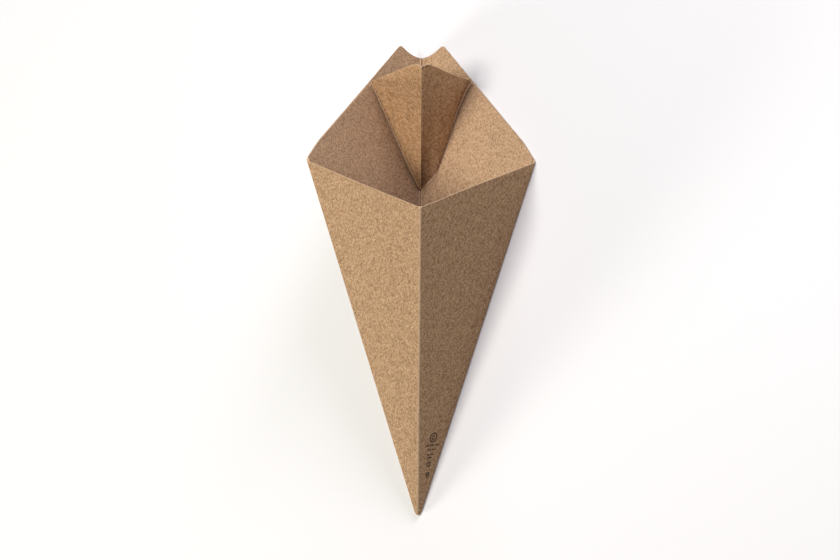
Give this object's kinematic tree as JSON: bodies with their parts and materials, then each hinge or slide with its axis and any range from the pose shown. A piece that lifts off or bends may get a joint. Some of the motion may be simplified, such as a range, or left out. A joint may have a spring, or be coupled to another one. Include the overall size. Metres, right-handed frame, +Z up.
{
  "type": "paper fry cone",
  "caption": "Folded kraft board cone for fries, with a raised back, a thumb notch and a small pushed-in sauce pocket, lying on one panel.",
  "frame": {"origin": "on the ground, under the middle of the back panel that the cone lies on", "axes": "+Y along the middle of that panel from the tip to the mouth, +Z up, +X towards the side crease of that panel"},
  "size_m": [0.0925, 0.2343, 0.0795],
  "materials": {
    "kraft_board": "matt"
  },
  "bodies": {
    "root": {"fry_cone": "kraft_board"}
  },
  "joints": []
}
